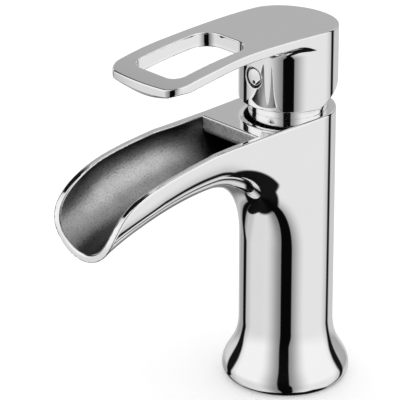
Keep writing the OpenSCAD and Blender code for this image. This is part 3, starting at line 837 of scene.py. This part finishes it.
def trough_painted_light_and_shade(nodes, place, grain, bridge, colours):
    """Colour of the trough, with painted light and painted shade. Its light and dark are painted by
    place, in millimetres, and by which way the surface faces.
    """
    x, y = [part * 1000 for part in nodes.parts(place)[:2]]
    blotch = nodes.noise(place, 160, 4.0)
    # Painted light and shade: lighter towards -X, darker towards the lip and the root, and painted
    # shade just below the rim except at the open front.
    across = nodes.ease(x, -15, 4, 1, 0.22)
    at_lip = nodes.ease(y, -102, -122, 1, 0.6)
    at_root = nodes.ease(y, -72, -50, 1, 0.5)
    under_rim = nodes.mark("depth", 0.5, 6).larger(nodes.ease(y, -108, -122))
    floor = across * at_lip * (under_rim * 0.64 + 0.08) * at_root
    # Painted light on the front of the bridge, and painted shade on the walls beside it.
    sideways = abs(nodes.parts(nodes.out(nodes.add("ShaderNodeTexCoord"), "Normal"))[0])
    facing = nodes.ease(sideways, 0.55, 0.35)
    painted_brightness = floor.larger(bridge * facing) * (grain * 0.9 + blotch * 0.4 + 0.25)
    trough_with_painted_light = nodes.between(painted_brightness, tuple(colours.shadow), tuple(colours.casting))
    # Painted shade: the slot under the bridge and the walls beside the bridge take the slot's dark
    # colour.
    dark = nodes.mark("slot", 0, 0.6).larger(bridge * (1 - facing))
    return nodes.between(dark, trough_with_painted_light, tuple(colours.slot))


def body_finish(colours):
    """Polished chrome with a rough, thinly plated trough that carries painted light and shade, and
    painted shade in the slot under the bridge.
    """
    material, nodes, shader = principled("Body chrome and casting")
    if nodes is None:
        return material
    place = nodes.place()
    tone, rough = plating(nodes, place, colours)
    cast, grain = nodes.mark("cast", 0.3, 0.8), nodes.noise(place, 1300, 5.0)
    bridge = nodes.ease(nodes.parts(place)[1] * 1000, -38.6, -38.2)
    rough_cast = grain * 0.15 + bridge * 0.3 + 0.22
    trough = trough_painted_light_and_shade(nodes, place, grain, bridge, colours)
    feed(nodes, shader, Metallic=1.0, Base_Color=nodes.between(cast, tone, trough),
         Roughness=rough * (1 - cast) + cast * rough_cast,
         Normal=nodes.bump(grain * cast, 0.4, GRAIN_DEPTH))
    return material


def lever_finish(colours):
    """Polished chrome; unpolished in the hollow under the skirt and in the screw hole, where the raw
    casting is painted dark as painted shade.
    """
    material, nodes, shader = principled("Lever chrome")
    if nodes is None:
        return material
    place = nodes.place()
    tone, rough = plating(nodes, place, colours)
    hollow, grain = nodes.mark("hollow", 0, 0.4), nodes.noise(place, 900, 4.0)
    # The hollow's raw colour is unpolished casting, painted dark as painted shade.
    feed(nodes, shader, Metallic=1.0,
         Base_Color=nodes.between(hollow, tone, drifting(nodes, grain, colours.raw, 0.375)),
         Roughness=rough * (1 - hollow) + hollow * (grain * 0.2 + 0.45),
         Normal=nodes.bump(grain * hollow, 0.6, GRAIN_DEPTH))
    return material


def turned_finish(name, tone, share):
    """A machined metal with fine rings from the lathe."""
    material, nodes, shader = principled(name)
    if nodes is None:
        return material
    x, y, z = nodes.parts(nodes.place())
    cut = nodes.noise(nodes.together(x * 40, y * 40, z * 4000), 1.0)
    feed(nodes, shader, Metallic=1.0, Base_Color=drifting(nodes, cut, tone, share),
         Roughness=cut * 0.2 + 0.18)
    return material


def moulded_finish(name, tone, share, rough=0.4, scale=700, strength=0.25):
    """A plastic, rubber or ceramic whose colour and grain vary finely."""
    material, nodes, shader = principled(name)
    if nodes is None:
        return material
    place = nodes.place()
    grain = nodes.noise(place, scale, 4.0)
    feed(nodes, shader, Base_Color=drifting(nodes, nodes.noise(place, 60), tone, share),
         Roughness=grain * 0.2 + rough, Normal=nodes.bump(grain, strength, 0.1 * MM))
    return material


def inner_finishes(colours):
    """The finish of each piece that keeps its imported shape."""
    groups = (
        (moulded_finish("Seal rubber", colours.rubber, 0.6, 0.5, 1200, 0.5),
         ("base_seal", "trim_ring_seal", "housing_seal", "inlet_seals", "disc_seals", "guide_seal")),
        (moulded_finish("Disc ceramic", colours.ceramic, 0.927, 0.12, 300, 0.05),
         ("fixed_disc", "moving_disc")),
        (turned_finish("Turned steel", colours.steel, 0.8065),
         ("grub_screw", "spindle", "spindle_pin")),
        (turned_finish("Turned brass", colours.brass, 0.86), ("cartridge_nut",)),
        (moulded_finish("Cartridge plastic", colours.cartridge, 0.914),
         ("cartridge_housing", "cartridge_base")),
        (moulded_finish("Guide plastic", colours.guide, 0.882), ("spindle_guide",)),
        (moulded_finish("Carrier plastic", colours.carrier, 0.8), ("disc_carrier",)),
        (moulded_finish("Glide plastic", colours.glide, 0.909, 0.25), ("glide_ring",)),
        (moulded_finish("Limit ring plastic", colours.limit, 0.84), ("hot_limit_ring",)),
    )
    return {piece: finish for finish, pieces in groups for piece in pieces}


class TAP_OT_body(bpy.types.Operator):
    """Builds the cast body with its trough and rim"""

    bl_idname = "tap.body"
    bl_label = "Body"

    def execute(self, context):
        build_body(context)
        return {"FINISHED"}


class TAP_OT_lever(bpy.types.Operator):
    """Builds the lever with its finger loop"""

    bl_idname = "tap.lever"
    bl_label = "Lever"

    def execute(self, context):
        build_lever(context)
        return {"FINISHED"}


class TAP_OT_trim(bpy.types.Operator):
    """Builds the trim ring, and the plug of the screw hole with its mark"""

    bl_idname = "tap.trim"
    bl_label = "Trim ring and plug"

    def execute(self, context):
        build_ring(context)
        build_plug(context)
        build_mark(context)
        return {"FINISHED"}


class TAP_OT_inside(bpy.types.Operator):
    """Gives the cartridge, seals, nut and screw their finishes"""

    bl_idname = "tap.inside"
    bl_label = "Cartridge, seals and screw"

    def execute(self, context):
        for node, finish in inner_finishes(context.scene.tap_colours).items():
            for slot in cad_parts[node].material_slots:
                slot.material = finish
        return {"FINISHED"}


class TAP_OT_stage(bpy.types.Operator):
    """Builds the floor, the light and the camera"""

    bl_idname = "tap.stage"
    bl_label = "Stage"

    def execute(self, context):
        build_floor(context.scene)
        build_studio(context.scene)
        build_camera(context.scene)
        return {"FINISHED"}


def directions(nodes):
    """Where a ray goes, in degrees: its turn round from the photograph's view, and its rise."""
    x, y, z = nodes.parts(nodes.out(nodes.add("ShaderNodeTexCoord"), "Generated"))
    turn = x.math("ARCTAN2", x, y * -1) - VIEW_TURN
    turn = turn.math("WRAP", turn, math.pi, -math.pi) * math.degrees(1)
    return turn, z.math("ARCSINE", z) * math.degrees(1)


def dark_gaps(nodes, turn, rise, level):
    """1 in the dark gaps between the softboxes, and 0 on them."""
    front_turn, left_turn, right_turn, low_turn, arch_turn = -4.5, -117, 113, -70, -103
    under = nodes.ease(rise, -25, -60)
    high = nodes.ease(rise, 20, 42)
    spread = nodes.ease(rise, -18, 8)

    # The gap in front widens and goes to the right below the horizon
    front = abs(turn - (level * 3.5 + under * 5 + front_turn)) - level * 2.5
    front = nodes.ease(front, 9.4, 12.1, 1, 0)

    # The gap on the left leans away at the bottom and at the top, where it is wide
    lean = nodes.ease(rise, -22, -34) * 16 + level * 4 + high * 21
    left = abs(turn + lean - left_turn) - (spread * 3.5 + high * 17)
    left = nodes.ease(left, 5, 10, 1, 0)

    # The gap on the right leans away at the bottom
    right = abs(turn - nodes.ease(rise, 5, -32) * 8 - right_turn) - spread * 2
    right = nodes.ease(right, 3, 9, 1, 0)

    # Far down it is dark all round, from higher up on the right than on the left
    shift = nodes.ease(turn, 52, 68) * -10.5 + nodes.band(turn, low_turn, 60, 6) * 4
    low = nodes.ease(rise + shift, -60.5, -64.5)

    # The arch under the spout sees a darkness on the left that falls towards the front
    fall = nodes.ease(turn, -128, -76) * 16
    arch = nodes.ease(rise + fall, -51, -53) * nodes.band(turn, arch_turn, 30, 5)
    return front.larger(left).larger(right).larger(low).larger(arch)


def softboxes(nodes, turn, rise, level):
    """Light of the softboxes in front, light of the wall behind, and 1 where that wall is."""
    side, on_left = abs(turn), nodes.ease(turn, 10, -10)
    panel = 0.92 - level * 0.12 - level * nodes.ease(turn, -10, -70) * 0.08
    fall = nodes.ease(abs(turn + 4), 8, 50, 0.28, 1) * nodes.ease(side, 92, 112, 1, 0.75)

    # The wall behind starts further back high up, and on the left low down
    steep = nodes.ease(rise, 36, 44)
    mild = nodes.ease(rise, 22, 10) * on_left
    behind = nodes.ease(side - steep * 10 - mild * 16, 140, 160 - steep * 4)

    # Strips beside that wall and the ground behind are dull at and below the horizon
    left_flank = on_left * nodes.ease(rise, -6, -18, 0, 0.3)
    rising = nodes.ease(rise, -22, -12) * nodes.ease(rise, 14, 0, 0, 0.4)
    flank = nodes.ease(side, 118, 126) * nodes.ease(side, 158, 148)
    flank = flank * (left_flank + (1 - on_left) * rising)
    hidden = behind * nodes.ease(rise, -28, -38)
    dull = flank.larger(hidden * 0.7)

    wall = behind * nodes.ease(rise, -6, 4) * nodes.ease(rise, 56, 44)
    return (1 - dull) * panel * fall, 0.45 - nodes.ease(rise, 26, 40) * 0.08, wall


def build_studio(scene):
    """White light all round; polished metal also sees softboxes and the dark gaps between them."""
    world = bpy.data.worlds.new("Studio")
    scene.world = world
    world.use_nodes = True
    nodes = Nodes(world.node_tree)
    turn, rise = directions(nodes)
    level = nodes.ease(rise, 0, -23)
    black = dark_gaps(nodes, turn, rise, level)
    front, back, wall = softboxes(nodes, turn, rise, level)
    light = (1 - black * 0.99) * front * (1 - wall) + wall * back
    seen = nodes.out(nodes.add("ShaderNodeLightPath"), "Is Glossy Ray")
    values = {"Color": grey(1), "Strength": 1 - seen * (1 - light)}
    background = nodes.add("ShaderNodeBackground", {}, values)
    output = nodes.add("ShaderNodeOutputWorld")
    world.node_tree.links.new(background.outputs[0], output.inputs["Surface"])


def build_floor(scene):
    """A pale floor that polished metal doesn't see."""
    size = 6.0
    corners = [(-size, -size, 0), (size, -size, 0), (size, size, 0), (-size, size, 0)]
    mesh = bpy.data.meshes.new("floor")
    mesh.from_pydata(corners, [], [(0, 1, 2, 3)])
    floor = bpy.data.objects.new("floor", mesh)
    scene.collection.objects.link(floor)
    floor.visible_glossy = False
    material, nodes, shader = principled("Pale floor")
    grain = nodes.noise(nodes.place(), 40)
    straight = nodes.out(nodes.add("ShaderNodeLightPath"), "Is Camera Ray")
    feed(nodes, shader, Base_Color=nodes.between(grain, grey(1), grey(0.99)),
         Roughness=1.0, Specular_IOR_Level=0.0, Emission_Strength=1.0,
         Emission_Color=nodes.between(straight, grey(0), grey(0.12)))
    mesh.materials.append(material)


def build_camera(scene):
    """The camera of the photograph, and how its picture is shown."""
    scene.view_settings.view_transform = "Standard"
    flat = math.cos(VIEW_PITCH)
    back = Vector((math.sin(VIEW_TURN) * flat, -math.cos(VIEW_TURN) * flat, math.sin(VIEW_PITCH)))
    right = Vector((math.cos(VIEW_TURN), math.sin(VIEW_TURN), 0))
    up = back.cross(right)
    data = bpy.data.cameras.new("camera")
    data.sensor_width = SENSOR_WIDTH
    data.lens = SENSOR_WIDTH * FOCAL_PIXELS / PICTURE_PIXELS
    data.clip_start, data.clip_end = 0.05, 50
    camera = bpy.data.objects.new("camera", data)
    camera.matrix_world = Matrix((right, up, back)).transposed().to_4x4()
    camera.location = VIEW_PLACE
    scene.collection.objects.link(camera)
    scene.camera = camera


class TAP_PT_panel(bpy.types.Panel):
    """Lists the tap's operators"""

    bl_label = "Basin mixer tap"
    bl_idname = "TAP_PT_panel"
    bl_space_type = "VIEW_3D"
    bl_region_type = "UI"
    bl_category = "Tap"

    def draw(self, context):
        for name in ("tap.body", "tap.lever", "tap.trim", "tap.inside", "tap.stage"):
            self.layout.operator(name)


CLASSES = (
    TapBodySizes, TapLeverSizes, TapTrimSizes, TapColours, TAP_OT_body, TAP_OT_lever, TAP_OT_trim,
    TAP_OT_inside, TAP_OT_stage, TAP_PT_panel)


def register():
    """Registers the classes and the scene's settings."""
    for cls in CLASSES:
        bpy.utils.register_class(cls)
    bpy.types.Scene.tap_body = bpy.props.PointerProperty(type=TapBodySizes)
    bpy.types.Scene.tap_lever = bpy.props.PointerProperty(type=TapLeverSizes)
    bpy.types.Scene.tap_trim = bpy.props.PointerProperty(type=TapTrimSizes)
    bpy.types.Scene.tap_colours = bpy.props.PointerProperty(type=TapColours)


def unregister():
    """Takes the settings and the classes away again."""
    del bpy.types.Scene.tap_colours
    del bpy.types.Scene.tap_trim
    del bpy.types.Scene.tap_lever
    del bpy.types.Scene.tap_body
    for cls in reversed(CLASSES):
        bpy.utils.unregister_class(cls)


def main():
    """Builds everything."""
    register()
    bpy.ops.tap.body()
    bpy.ops.tap.lever()
    bpy.ops.tap.trim()
    bpy.ops.tap.inside()
    bpy.ops.tap.stage()


if __name__ == "__main__":
    main()
